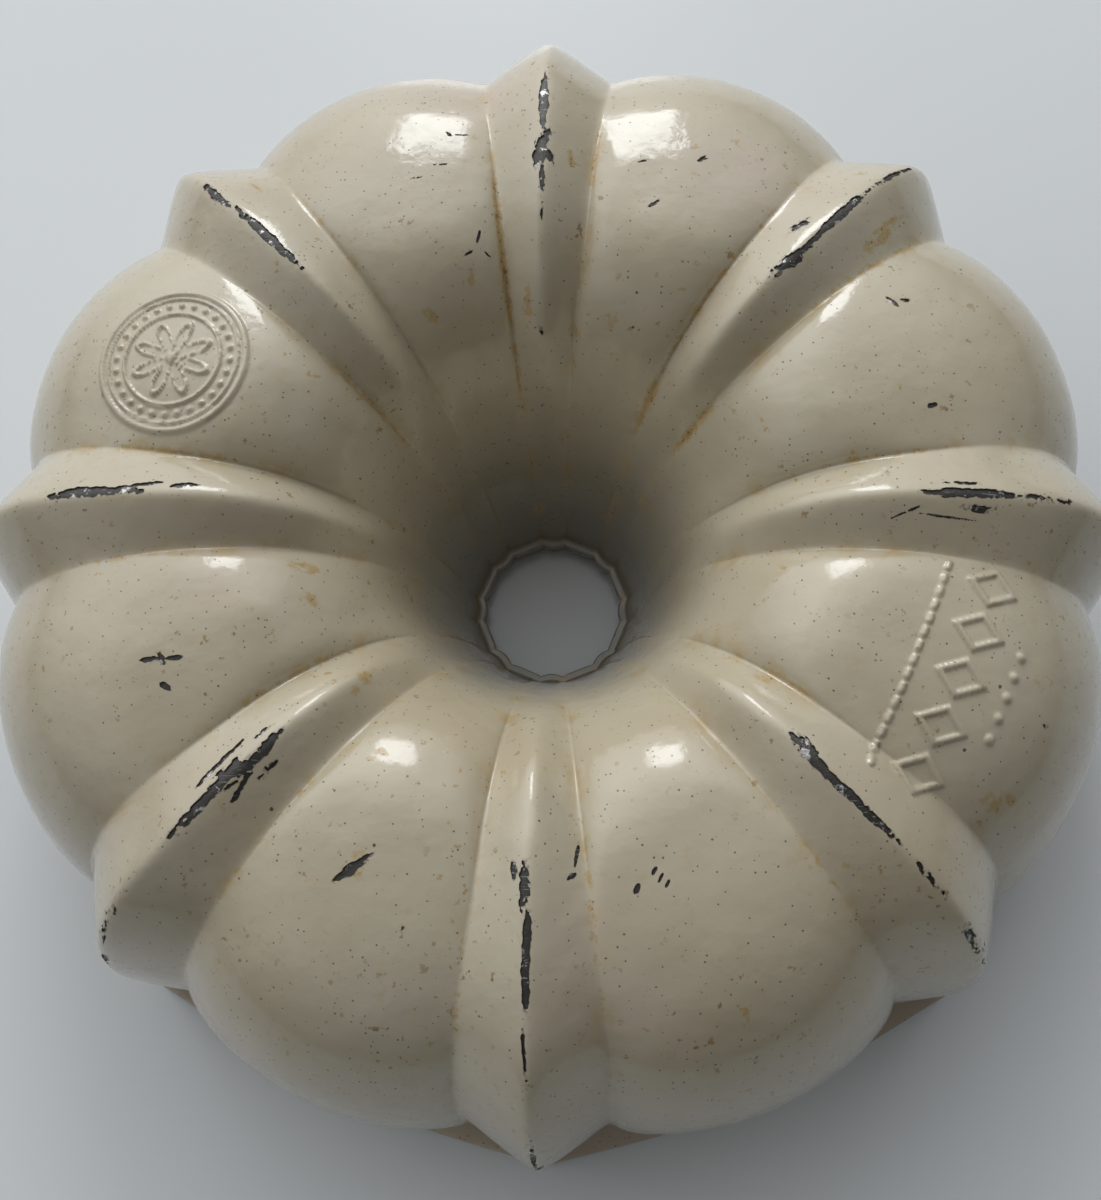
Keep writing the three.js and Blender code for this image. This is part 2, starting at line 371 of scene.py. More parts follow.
# Round specks: the spacing of their cells and their largest radius in mm, and the share of cells
# that have one. SPECK_SOFTNESS is the share of the radius that is a soft edge.
Specks = namedtuple("Specks", "spacing radius share")
ROUND_FLECKS = Specks(3.6, 0.55, 0.3)
PINHOLES = Specks(1.1, 0.23, 0.55)
BLACK_SPECKS = Specks(6.0, 0.42, 0.5)
NONSTICK_FLECKS = Specks(1.4, 0.32, 0.45)
SPECK_SOFTNESS = 0.15

# Fine parallel scratches: their turn in radians, and their length and spacing in mm.
Scratches = namedtuple("Scratches", "turn length spacing")
METAL_SCRATCHES = Scratches(0.3, 4, 0.5)
KNIFE_SCRATCHES = Scratches(0.5, 14, 0.2), Scratches(1.9, 11, 0.22)

# How strongly each thing shows in the colour.
FLANGE_BLUSH = 0.35
BURN_SHOWS = 0.8
PINHOLES_SHOW = 0.85
SPECKS_SHOW = 0.9
METAL_SCRATCHES_SHOW = 0.25
NONSTICK_FLECKS_SHOW = 0.7
KNIFE_SCRATCHES_SHOW = 0.35

# Bumps: each material's depth in mm, and the heights of its features as multiples of that.
ENAMEL_BUMPS = 0.06
PEEL_HEIGHT = 1.5
SWELL_HEIGHT = 5.0
SPECK_DEPTH = 1.2
METAL_BUMPS = 0.12
SCRATCH_HEIGHT = -0.5
NONSTICK_BUMPS = 0.05

# Gloss. The burnt places are rougher by BURN_ROUGHNESS.
BURN_ROUGHNESS = 0.18
ENAMEL_GLOSS = {"IOR": 1.52, "Coat Weight": 0.25, "Coat Roughness": 0.05}
TABLE_GLOSS = {"IOR": 1.45, "Roughness": 0.22}


# ---------------------------------------------------------------- light and camera

# The table top: half its side in metres, and how far it lies under the rim in mm.
TABLE_HALF_SIDE = 3.0
TABLE_GAP = 0.1

# The window: its azimuth and elevation in degrees, then metres and watts.
WINDOW_WAY = (95, 30)
WINDOW_DISTANCE = 1.7
WINDOW_SIZE = (0.46, 0.62)
WINDOW_POWER = 6.0
WINDOW_COLOUR = (0.96, 0.985, 1.0)

# The room: how bright its walls are, and how much brighter to the north and darker to the east;
# how that changes upwards, by the sine of the elevation; and a glow in one direction, by the
# cosine of the angle from it.
ROOM_COLOUR = (0.97, 0.985, 1.0, 1)
ROOM_LEVEL = 0.43
ROOM_NORTH = 0.37
ROOM_EAST = -0.24
ROOM_UPWARDS = Range(0.05, 0.65, 0.15, 1.3)
ROOM_OVERHEAD = Range(0.7, 0.88, 1.0, 0.34)
GLOW_WAY = (110, 31)
GLOW = Range(0.58, 1.0, 0, 1.5)

# The camera, over the south side of the crown: its lens and sensor in millimetres, its nearest view
# and its place in metres, and its turn in radians.
LENS = 39.32
SENSOR_WIDTH = 36
NEAREST = 0.01
CAMERA_AT = (0.01335, -0.08876, 0.32333)
CAMERA_TURN = (0.2803, 0.0397, 0.0146)


# ---------------------------------------------------------------- shape of the pan

def bezier(handles, t):
    """Point and tangent of a cubic curve; handles are numbers or pairs, t is an array."""
    a, b, c, d = (np.asarray(h, float) for h in handles)
    t = np.asarray(t, float)[..., None] if a.ndim else np.asarray(t, float)
    s = 1 - t
    point = s ** 3 * a + 3 * s * s * t * b + 3 * s * t * t * c + t ** 3 * d
    tangent = s * s * (b - a) + 2 * s * t * (c - b) + t * t * (d - c)
    return point, tangent


def along(curve, u):
    """Point and tangent of a two-part curve."""
    wall = bezier(curve[0], np.clip(u, 0, 1))
    tube = bezier(curve[1], np.clip(u - 1, 0, 1))
    on_tube = (u > 1)[:, None] if wall[0].ndim > 1 else u > 1
    return tuple(np.where(on_tube, t, w) for w, t in zip(wall, tube))


def raised(curve, u, rise):
    """The section at u, moved out by rise along its own normal in the plane of the section."""
    point, tangent = along(curve, u)
    tangent = tangent / np.linalg.norm(tangent, axis=1)[:, None]
    normal = np.stack([tangent[:, 1], -tangent[:, 0]], 1)
    return point + normal * np.broadcast_to(rise, u.shape)[:, None]


def groove_angle(u):
    """Angle between a crest and its groove."""
    return along(RIDGE_HALF_WIDTH, u)[0] / along(GROOVE, u)[0][:, 0]


def crest_angle(w):
    """Angle from the nearest crest."""
    return np.abs(w - np.round(w)) * CELL


def lattice_noise(x, y, seed):
    """Smooth noise from -1 to 1 that repeats, so that the unevenness closes round the pan."""
    table = np.random.default_rng(seed).uniform(-1, 1, (NOISE_PERIOD, NOISE_PERIOD))
    i, j = np.floor(x).astype(int), np.floor(y).astype(int)
    fx, fy = x - i, y - j
    fx, fy = fx * fx * (3 - 2 * fx), fy * fy * (3 - 2 * fy)
    i, j, i_next, j_next = (k % NOISE_PERIOD for k in (i, j, i + 1, j + 1))
    low = table[i, j] * (1 - fx) + table[i_next, j] * fx
    high = table[i, j_next] * (1 - fx) + table[i_next, j_next] * fx
    return low * (1 - fy) + high * fy


def softly_positive(x, soft):
    """x where it is well above 0, going smoothly to nearly 0 where it is below."""
    return (x + np.sqrt(x * x + soft * soft)) / 2


def fluted(u, w, rises):
    """Radius and height of the fluted skin; rises are those of the crest, the groove and the lobe."""
    crest, groove, lobe = (raised(c, u, r) for c, r in zip((CREST, GROOVE, LOBE), rises))
    angle, dip = crest_angle(w), groove_angle(u)
    flank = angle / dip
    soft = np.interp(u, CREST_SOFT_AT, CREST_SOFT)
    fall = (np.hypot(flank, soft) - soft) / (np.hypot(1, soft) - soft)
    ridge_share = softly_positive(1 - fall, RIDGE_FILLET)
    swell = np.clip(softly_positive((angle - dip) / (CELL / 2 - dip), LOBE_FILLET), 0, 1)
    lobe_share = np.sqrt(1 - (1 - swell) ** 2)
    return groove + ridge_share[:, None] * (crest - groove) + lobe_share[:, None] * (lobe - groove)


def flange_radius(w):
    """The flange's edge is nearly an octagon, with a corner at each ridge."""
    angle = crest_angle(w)
    flat = FLANGE_TIP_R * math.cos(CELL / 2)
    return flat / np.cos(CELL / 2 - angle) + (FLANGE_MID_R - flat) * np.sin(np.pi * angle / CELL)


def rounded_step(q, start, inset, level, end, fillet, corner):
    """A step with a fillet at its foot and a rounded edge, as q goes 0..1 from start to end.

    start and inset are the radii of its wall and its edge, level and end are heights."""
    way = np.sign(inset - start)
    turn = np.clip(q / FILLET_END, 0, 1) * np.pi / 2
    flat = np.clip((q - FILLET_END) / (FLAT_END - FILLET_END), 0, 1)
    roll = np.clip((q - FLAT_END) / (ROUND_END - FLAT_END), 0, 1) * np.pi / 2
    drop = np.clip((q - ROUND_END) / (1 - ROUND_END), 0, 1)
    radius = start + way * fillet * (1 - np.cos(turn))
    radius = radius + (inset - way * corner - start - way * fillet) * flat
    radius = radius + way * corner * np.sin(roll)
    height = level + fillet * (1 - np.sin(turn)) - corner * (1 - np.cos(roll))
    return radius, height + (end - level + corner) * drop


def on_axis(radius, height, w):
    """Points round the pan's axis."""
    return np.stack([radius * np.cos(w * CELL), radius * np.sin(w * CELL), height], 1)


def outside(u, w, rise):
    """Points of the outside, in mm: u below 0 is on the flange, above 2 on the ledge in the tube."""
    u, w = np.atleast_1d(np.asarray(u, float)), np.atleast_1d(np.asarray(w, float))
    wave = WAVINESS * lattice_noise(w * WAVES_PER_CELL, u * WAVES_PER_WALL, WAVE_SEED)
    rise = np.broadcast_to(rise, u.shape) + wave * np.clip(np.minimum(u, 2 - u) * WAVE_GROWTH, 0, 1)
    radius, height = fluted(np.clip(u, 0, 2), w, (rise, rise, rise)).T
    edge = flange_radius(w) + rise
    fillet, corner = (np.minimum(r, LARGEST_ROUND * (edge - radius)) for r in (FOOT_FILLET, EDGE_ROUND))
    rim = rounded_step(-u, radius, edge, FLANGE_THICK + rise, COAT_RIM_Z, fillet, corner)
    hole = radius - LEDGE_WIDTH
    lip = rounded_step(u - 2, radius, hole, LEDGE_TOP_Z + rise, TUBE_END_Z, LEDGE_FILLET, LEDGE_ROUND)
    radius = np.select([u <= 0, u >= 2], [rim[0], lip[0]], radius)
    height = np.select([u <= 0, u >= 2], [rim[1], lip[1]], height)
    return on_axis(radius, height, w)


def lining(u, w, depths, height=None):
    """Points of the batter side, in mm, or of its edge carried straight down to a height."""
    u = np.broadcast_to(u, w.shape).astype(float)
    radius, own_height = fluted(u, w, tuple(-d for d in depths)).T
    return on_axis(radius, own_height if height is None else np.full_like(w, height), w)


def stations(u):
    """Where the mesh's columns run at u, once around the pan."""
    dip = groove_angle(np.clip([u], 0, 2))[0] / CELL
    half = [f * dip for f in FLANK_STATIONS] + [dip + (0.5 - dip) * v for v in LOBE_STATIONS]
    cell = half + [1 - h for h in half[-2:0:-1]]
    return np.concatenate([np.array(cell) + k for k in range(RIDGES)])


# ---------------------------------------------------------------- meshes

def grid_faces(rows, columns, closed=False):
    """Quads of a stack of rings, facing out where the rings climb and turn anticlockwise."""
    r, c = np.meshgrid(np.arange(rows if closed else rows - 1), np.arange(columns), indexing="ij")
    after, beside = (r + 1) % rows, (c + 1) % columns
    corners = (r * columns + c, r * columns + beside, after * columns + beside, after * columns + c)
    return np.stack([k.ravel() for k in corners], 1)


def mesh_object(name, points, faces, attributes=None):
    """A smooth mesh from points in millimetres."""
    mesh = bpy.data.meshes.new(name)
    mesh.from_pydata((points * MM).tolist(), [], faces.tolist())
    mesh.shade_smooth()
    for key, values in (attributes or {}).items():
        layer = mesh.attributes.new(key, "FLOAT", "POINT")
        layer.data.foreach_set("value", values.astype(np.float32))
    made = bpy.data.objects.new(name, mesh)
    bpy.context.scene.collection.objects.link(made)
    return made


def local_frame(mark):
    """Centre, direction along and direction across, at a mark on the enamel."""
    w = (mark.azimuth + mark.lean) / math.degrees(CELL)
    step = 0.01
    centre = outside(mark.along, w, ENAMEL_RISE)[0]
    down = outside(mark.along + step, w, ENAMEL_RISE)[0] - outside(mark.along - step, w, ENAMEL_RISE)[0]
    around = outside(mark.along, w + step, ENAMEL_RISE)[0] - outside(mark.along, w - step, ENAMEL_RISE)[0]
    down, around = down / np.linalg.norm(down), around / np.linalg.norm(around)
    turn = math.radians(mark.slant)
    return (centre, down * math.cos(turn) + around * math.sin(turn),
            around * math.cos(turn) - down * math.sin(turn))


def local_places(mark, points, margin=1.2, spare=0.0):
    """Which points lie near a mark, and their shares of its half length and half width.

    Near is within margin times the larger of the two, and spare mm more."""
    centre, down, around = local_frame(mark)
    reach = margin * max(mark.half_length, mark.half_width) + spare
    near = np.flatnonzero(((points - centre) ** 2).sum(1) < reach ** 2)
    away = points[near] - centre
    return near, away @ down / mark.half_length, away @ around / mark.half_width


def tattered(tatters, length, width, number):
    """Noise drawn out along a chip. Each chip has its own seed and its own place in the noise."""
    x = length / tatters.length + CHIP_SPACING * number
    y = width / tatters.width + NOISE_PERIOD / 2
    return tatters.strength * lattice_noise(x, y, number + tatters.first_seed)


def chip_field(points):
    """Above 0 where the enamel has flaked off."""
    field = np.full(len(points), -1.0)
    for number, mark in enumerate(CREST_CHIPS + LOBE_CHIPS):
        near, x, y = local_places(mark, points)
        rag, grain = (tattered(t, x * mark.half_length, y * mark.half_width, number) for t in (RAGS, GRAINS))
        body = mark.gain * (1 - x * x - y * y) - 1 + rag + grain
        field[near] = np.maximum(field[near], np.clip(body, -1, 1))
    return field


def stain_field(points, place):
    """How strongly the enamel is browned, from 0 upwards."""
    field = np.zeros(len(points))
    u, w = np.clip(place[:, 0], 0, 2), place[:, 1]
    radius, dip = np.hypot(points[:, 0], points[:, 1]), groove_angle(u)
    for streak in GROOVE_STAINS:
        turn = w * CELL - math.radians(streak.azimuth) - streak.side * dip
        across = np.angle(np.exp(1j * turn)) * radius / streak.half_width
        lengthways = (u - streak.along) / streak.half_along
        shape = np.clip(1 - across ** 2, 0, 1) * np.clip(1 - lengthways ** 2, 0, 1) ** 0.5
        field = np.maximum(field, streak.gain * shape)
    for mark in STAINS:
        near, x, y = local_places(mark, points, STAIN_MARGIN)
        field[near] = np.maximum(field[near], mark.gain * np.clip(1 - x * x - y * y, 0, 1))
    return field


def raised_line(distance, half_width):
    """1 on the middle half of a line, going to 0 at its half width."""
    return np.clip((half_width - np.abs(distance)) / (0.5 * half_width), 0, 1)


def medallion_relief(x, y):
    """Rings, beads and a rosette round a boss, from 0 to 1, in mm from the centre."""
    radius, angle = np.hypot(x, y), np.arctan2(y, x)
    rings = [raised_line(radius - ring, half_line) for ring, half_line in MEDALLION_RINGS]
    bead = np.abs((angle / (2 * np.pi) * BEADS) % 1 - 0.5) * 2 * np.pi * BEAD_RING / BEADS
    beads = raised_line(np.hypot(radius - BEAD_RING, bead), BEAD_RADIUS)
    rosette = raised_line(radius - PETAL_LENGTH * np.abs(np.cos(PETALS / 2 * angle)), PETAL_LINE)
    return np.max([*rings, beads, rosette, raised_line(radius, BOSS_RADIUS)], axis=0)


def from_nearest(row, y):
    """Distance along a row from the middle of the nearest thing in it."""
    number = np.clip(np.round(y / row.spacing), -row.each_side, row.each_side)
    return np.abs(y - number * row.spacing)


def lozenge_relief(x, y):
    """A row of open lozenges between a row of dashes and a few dots, from 0 to 1."""
    half_length, half_height = LOZENGE_HALF_SIZE
    size = np.abs(x - LOZENGE_ROW.offset) / half_length + from_nearest(LOZENGE_ROW, y) / half_height
    lozenges = raised_line((size - LOZENGE_OUTLINE) * LOZENGE_SCALE, LOZENGE_ROW.half_line)
    past_dash = np.clip(from_nearest(DASH_ROW, y) - DASH_HALF_LENGTH, 0, None)
    dashes = raised_line(np.hypot(x - DASH_ROW.offset, past_dash), DASH_ROW.half_line)
    dots = raised_line(np.hypot(x - DOT_ROW.offset, from_nearest(DOT_ROW, y)), DOT_ROW.half_line)
    return np.max([lozenges, dashes, dots], axis=0)


def cast_relief(points):
    """Height in mm of the raised marks at each point."""
    height = np.zeros(len(points))
    for mark, drawn in ((MEDALLION, medallion_relief), (LOZENGES, lozenge_relief)):
        near, x, y = local_places(mark, points)
        height[near] = RELIEF * drawn(x * mark.half_length, y * mark.half_width)
    return height


def wanted_edge(points):
    """How long a mesh edge may be at each point, in mm."""
    wanted = np.full(len(points), np.inf)
    for mark in (MEDALLION, LOZENGES):
        near, x, y = local_places(mark, points, RELIEF_MARGIN)
        wanted[near[np.maximum(np.abs(x), np.abs(y)) < RELIEF_SPREAD]] = RELIEF_EDGE
    for mark in CREST_CHIPS + LOBE_CHIPS:
        near, x, y = local_places(mark, points, spare=CHIP_REACH)
        beyond = np.clip(np.hypot(x, y) - CHIP_SPREAD, 0, None) * mark.half_width
        wanted[near] = np.minimum(wanted[near], CHIP_EDGE + EDGE_GROWTH * beyond)
    return wanted


def middles(place, pairs, share=0.5):
    """Places between pairs of vertices; place has the columns u, w and rise, and w wraps round."""
    a, b = place[pairs[:, 0]], place[pairs[:, 1]]
    step = b - a
    step[:, 1] = (step[:, 1] + RIDGES / 2) % RIDGES - RIDGES / 2
    return a + step * np.reshape(share, (-1, 1))


def edge_table(triangles):
    """Unique edges of the triangles, and each triangle's three edges as rows of that table."""
    pairs = np.sort(np.stack([triangles, np.roll(triangles, -1, 1)], 2).reshape(-1, 2), 1)
    edges, which = np.unique(pairs, axis=0, return_inverse=True)
    return edges, which.reshape(-1, 3)


def turned(triangles, cuts, first):
    """The triangles and their cut vertices, turned so that corner number first comes first."""
    order = (first[:, None] + np.arange(3)) % 3
    return np.take_along_axis(triangles, order, 1), np.take_along_axis(cuts, order, 1)


def split_edges(triangles, cuts):
    """Triangles after cutting every edge that has a vertex in cuts (-1 where it has none)."""
    count = (cuts >= 0).sum(1)
    one, cut = turned(triangles[count == 1], cuts[count == 1], np.argmax(cuts[count == 1] >= 0, 1))
    two, pair = turned(triangles[count == 2], cuts[count == 2], np.argmax(cuts[count == 2] < 0, 1) + 1)
    three, all_cut = triangles[count == 3], cuts[count == 3]
    return np.concatenate([
        triangles[count == 0],
        np.stack([one[:, 0], cut[:, 0], one[:, 2]], 1),
        np.stack([cut[:, 0], one[:, 1], one[:, 2]], 1),
        np.stack([pair[:, 0], two[:, 1], pair[:, 1]], 1),
        np.stack([two[:, 0], pair[:, 0], pair[:, 1]], 1),
        np.stack([two[:, 0], pair[:, 1], two[:, 2]], 1),
        np.stack([three[:, 0], all_cut[:, 0], all_cut[:, 2]], 1),
        np.stack([all_cut[:, 0], three[:, 1], all_cut[:, 1]], 1),
        np.stack([all_cut[:, 2], all_cut[:, 1], three[:, 2]], 1),
        all_cut,
    ])


def refine(place, triangles):
    """Cuts long edges near the chips and the raised marks until they are short enough."""
    for _ in range(HALVINGS):
        points = outside(*place.T)
        edges, which = edge_table(triangles)
        length = np.linalg.norm(points[edges[:, 0]] - points[edges[:, 1]], axis=1)
        long = length > TOO_LONG * wanted_edge(points)[edges].min(1)
        if not long.any():
            break
        number = np.where(long, len(place) + np.cumsum(long) - 1, -1)
        place = np.concatenate([place, middles(place, edges[long])])
        triangles = split_edges(triangles, number[which])
    return place, triangles


def cut_out(place, triangles, field):
    """Removes the part of the surface where field is above 0. Also returns the cut's edges."""
    edges, which = edge_table(triangles)
    gone = field > 0
    crossed = gone[edges[:, 0]] != gone[edges[:, 1]]
    low, high = field[edges[crossed, 0]], field[edges[crossed, 1]]
    number = np.where(crossed, len(place) + np.cumsum(crossed) - 1, -1)
    place = np.concatenate([place, middles(place, edges[crossed], low / (low - high))])
    lost = gone[triangles].sum(1)
    cuts = number[which]
    tip, a = turned(triangles[lost == 2], cuts[lost == 2], np.argmax(~gone[triangles[lost == 2]], 1))
    wide, b = turned(triangles[lost == 1], cuts[lost == 1], np.argmax(gone[triangles[lost == 1]], 1))
    kept = np.concatenate([
        triangles[lost == 0],
        np.stack([tip[:, 0], a[:, 0], a[:, 2]], 1),
        np.stack([b[:, 0], wide[:, 1], wide[:, 2]], 1),
        np.stack([b[:, 0], wide[:, 2], b[:, 2]], 1),
    ])
    return place, kept, np.concatenate([a[:, [2, 0]], b[:, [0, 2]]])


def with_walls(place, triangles, rim):
    """Adds walls from the cut edges down into the metal, and drops the places no triangle uses."""
    top = rim.ravel()
    foot = place[top].copy()
    foot[:, 2] = METAL_RISE - WALL_SINK
    upper = len(place) + np.arange(len(top)).reshape(-1, 2)
    lower = upper + len(top)
    walls = [
        np.stack([upper[:, 0], upper[:, 1], lower[:, 1]], 1),
        np.stack([upper[:, 0], lower[:, 1], lower[:, 0]], 1),
    ]
    used, faces = np.unique(np.concatenate([triangles, *walls]), return_inverse=True)
    return np.concatenate([place, place[top], foot])[used], faces.reshape(-1, 3)


# ---------------------------------------------------------------- the three pieces

def enamel_grid():
    """Places of the enamel's base mesh, with both its ends turned in to the metal, and its triangles."""
    rows = [(OUTSIDE_PLACES[0], METAL_RISE), *((u, ENAMEL_RISE) for u in OUTSIDE_PLACES)]
    rows.append((OUTSIDE_PLACES[-1], METAL_RISE))
    place = np.concatenate([[(u, w, rise) for w in stations(u)] for u, rise in rows])
    quads = grid_faces(len(rows), len(place) // len(rows))
    return place, np.concatenate([quads[:, [0, 1, 2]], quads[:, [0, 2, 3]]])


def enamel_mesh():
    """The outer skin, with its chips cut right through to the metal."""
    place, triangles = refine(*enamel_grid())
    place, triangles, rim = cut_out(place, triangles, chip_field(outside(*place.T)))
    place[:, 2] += cast_relief(outside(*place.T))
    return with_walls(place, triangles, rim)


def enamel_piece():
    """The enamel, with what its material has to know about each point."""
    place, faces = enamel_mesh()
    points = outside(*place.T)
    u, w = place[:, 0], place[:, 1]
    radius = np.hypot(points[:, 0], points[:, 1])
    off_groove = np.abs(crest_angle(w) - groove_angle(np.clip(u, 0, 2))) * radius
    return mesh_object("enamel_skin", points, faces, {
        "groove": np.exp(-(off_groove / GROOVE_DIRT_SPREAD) ** 2),
        "stain": stain_field(points, place),
        "chip": np.clip(chip_field(points), -1, 0),
        "flange": np.clip(-u / FLANGE_FADE, 0, 1),
        "along": u,
    })


def metal_piece():
    """The casting: its skin under the enamel, the tube's end, the lining and the rim's underside."""
    rim, tube_end = stations(0), stations(2)
    edge = flange_radius(rim) + METAL_RISE
    inside = np.concatenate([WALL_PLACES[::2], TUBE_PLACES[::2]])[::-1]
    rings = [outside(np.full_like(rim, u), stations(u), METAL_RISE) for u in OUTSIDE_PLACES]
    rings += [lining(2, tube_end, METAL_DEPTH, h) for h in (TUBE_END_Z, TUBE_END_Z + TUBE_LIP)]
    rings += [lining(u, stations(u), METAL_DEPTH) for u in inside]
    rings += [lining(0, rim, METAL_DEPTH, h) for h in (RIM_CHAMFER, 0)]
    rings += [on_axis(edge - RIM_CHAMFER, np.zeros_like(rim), rim)]
    rings += [on_axis(edge, np.full_like(rim, RIM_CHAMFER), rim)]
    return mesh_object("cast_body", np.concatenate(rings), grid_faces(len(rings), len(rim), closed=True))


def nonstick_piece():
    """The coat on the batter side, its two edges tucked down on to the metal."""
    rim, tube_end = stations(0), stations(2)
    end_z = TUBE_END_Z + COAT_END_LIFT
    rings = [lining(0, rim, METAL_DEPTH, COAT_RIM_Z), lining(0, rim, NONSTICK_DEPTH, COAT_RIM_Z + COAT_TUCK)]
    rings += [lining(u, stations(u), NONSTICK_DEPTH) for u in np.concatenate([WALL_PLACES, TUBE_PLACES])]
    rings += [lining(2, tube_end, NONSTICK_DEPTH, end_z + COAT_TUCK)]
    rings += [lining(2, tube_end, METAL_DEPTH, end_z)]
    faces = grid_faces(len(rings), len(rim))
    return mesh_object("nonstick_skin", np.concatenate(rings), faces[:, ::-1])


# ---------------------------------------------------------------- materials

def fill(tree, node, inputs):
    """Links inputs of a node to sockets, or sets them to values."""
    for key, value in inputs.items():
        if isinstance(value, bpy.types.NodeSocket):
            tree.links.new(value, node.inputs[key])
        else:
            node.inputs[key].default_value = value


def add(tree, kind, inputs, **settings):
    """A shader node with its settings made and its inputs filled."""
    made = tree.nodes.new("ShaderNode" + kind)
    for key, value in settings.items():
        setattr(made, key, value)
    fill(tree, made, inputs)
    return made


def new_material(name):
    """A material, its nodes, its shader, and the coordinates of the object that wears it."""
    made = bpy.data.materials.new(name)
    made.use_nodes = True
    tree = made.node_tree
    return made, tree, tree.nodes["Principled BSDF"], add(tree, "TexCoord", {}).outputs["Object"]


def calculated(tree, operation, a, b):
    return add(tree, "Math", {0: a, 1: b}, operation=operation).outputs[0]


def times(tree, a, b):
    return calculated(tree, "MULTIPLY", a, b)


def plus(tree, a, b):
    return calculated(tree, "ADD", a, b)


def minus(tree, a, b):
    return calculated(tree, "SUBTRACT", a, b)


def larger(tree, a, b):
    return calculated(tree, "MAXIMUM", a, b)


def vector(tree, operation, a, b):
    """A vector operation on a and b, or on a and a number where the operation is SCALE."""
    return add(tree, "VectorMath", {0: a, "Scale" if operation == "SCALE" else 1: b}, operation=operation)


def blend(tree, factor, a, b):
    """Colour a, going to colour b as factor goes to 1."""
    colours = [(*c, 1) if isinstance(c, tuple) else c for c in (a, b)]
    return add(tree, "Mix", {0: factor, 6: colours[0], 7: colours[1]}, data_type="RGBA").outputs[2]


def ranged(tree, value, span):
    """value brought from one range to the other, and held at its ends."""
    keys = ("From Min", "From Max", "To Min", "To Max")
    return add(tree, "MapRange", {"Value": value, **dict(zip(keys, span))}).outputs["Result"]


def noise(tree, coords, look):
    scale = 1 / (look.size * MM)
    inputs = {"Vector": coords, "Scale": scale, "Detail": look.detail, "Roughness": look.rough}
    return add(tree, "TexNoise", inputs).outputs["Fac"]


def pattern(tree, coords, noise_and_range):
    look, span = noise_and_range
    return ranged(tree, noise(tree, coords, look), span)


def specks(tree, coords, look):
    """Round specks of mixed size, a little out of round."""
    wobble = add(tree, "TexNoise", {"Vector": coords, "Scale": 1 / (look.radius * MM)}).outputs["Color"]
    shift = vector(tree, "SUBTRACT", wobble, (0.5, 0.5, 0.5)).outputs[0]
    shift = vector(tree, "SCALE", shift, look.radius * MM).outputs[0]
    moved = vector(tree, "ADD", coords, shift).outputs[0]
    cells = add(tree, "TexVoronoi", {"Vector": moved, "Scale": 1 / (look.spacing * MM)})
    chance = add(tree, "SeparateColor", {"Color": cells.outputs["Color"]})
    size = times(tree, chance.outputs[1], look.radius / look.spacing)
    inside = minus(tree, size, cells.outputs["Distance"])
    spot = ranged(tree, inside, Range(0, SPECK_SOFTNESS * look.radius / look.spacing))
    chosen = calculated(tree, "LESS_THAN", chance.outputs[0], look.share)
    return times(tree, spot, chosen)


def scratches(tree, coords, look):
    """Noise drawn out along one direction, and cut down to thin lines."""
    stretch = (1 / look.length, 1 / look.spacing, 1 / look.length)
    inputs = {"Vector": coords, "Rotation": (0, 0, look.turn), "Scale": stretch}
    drawn_out = add(tree, "Mapping", inputs).outputs[0]
    return ranged(tree, noise(tree, drawn_out, Noise(1, 1)), SCRATCH)


def attribute(tree, name):
    return add(tree, "Attribute", {}, attribute_name=name).outputs["Fac"]


def bumps(tree, height, depth_mm):
    """The surface's direction where a height of 1 stands depth_mm out of it."""
    return add(tree, "Bump", {"Height": height, "Distance": depth_mm * MM}).outputs["Normal"]


def enamel_ground(tree, coords):
    """The bare coat: cream, pinker along the flange, and darkened down the tube as painted shade."""
    colour = blend(tree, pattern(tree, coords, ENAMEL_TONE), CREAM, SANDY)
    colour = blend(tree, pattern(tree, coords, ENAMEL_BLUSH), colour, PINK)
    colour = blend(tree, times(tree, attribute(tree, "flange"), FLANGE_BLUSH), colour, PINK)
    # Painted shade: the enamel darkens down the deep tube, in place of the shade that falls there.
    return blend(tree, ranged(tree, attribute(tree, "along"), DOWN_THE_TUBE), colour, TUBE_PAINTED_SHADE)


def browned(tree, coords, colour):
    """The colour with its baking stains, and where those are."""
    film = times(tree, attribute(tree, "stain"), noise(tree, coords, BURN_NOISE))
    burn = ranged(tree, film, BURN)
    deep = ranged(tree, plus(tree, film, noise(tree, coords, DEEP_BURN_NOISE)), DEEP_BURN)
    dirt = times(tree, attribute(tree, "groove"), pattern(tree, coords, GROOVE_DIRT))
    for veil in (pattern(tree, coords, ENAMEL_MOTTLE), dirt, times(tree, burn, BURN_SHOWS)):
        colour = blend(tree, veil, colour, AMBER)
    return blend(tree, deep, colour, BROWN), burn


def flecked(tree, coords, colour):
    """The colour with amber and brown flecks, which keep to clusters."""
    spots = larger(tree, specks(tree, coords, ROUND_FLECKS), pattern(tree, coords, FLECKS))
    spots = times(tree, spots, pattern(tree, coords, FLECK_CLUSTERS))
    return blend(tree, spots, colour, blend(tree, pattern(tree, coords, FLECK_TONE), AMBER, BROWN))


def grimy_chips(tree, coords, colour):
    """The colour, darkened in the broken edge round each chip."""
    halo = ranged(tree, attribute(tree, "chip"), ROUND_A_CHIP)
    return blend(tree, times(tree, halo, pattern(tree, coords, CHIP_GRIME)), colour, GRIME)


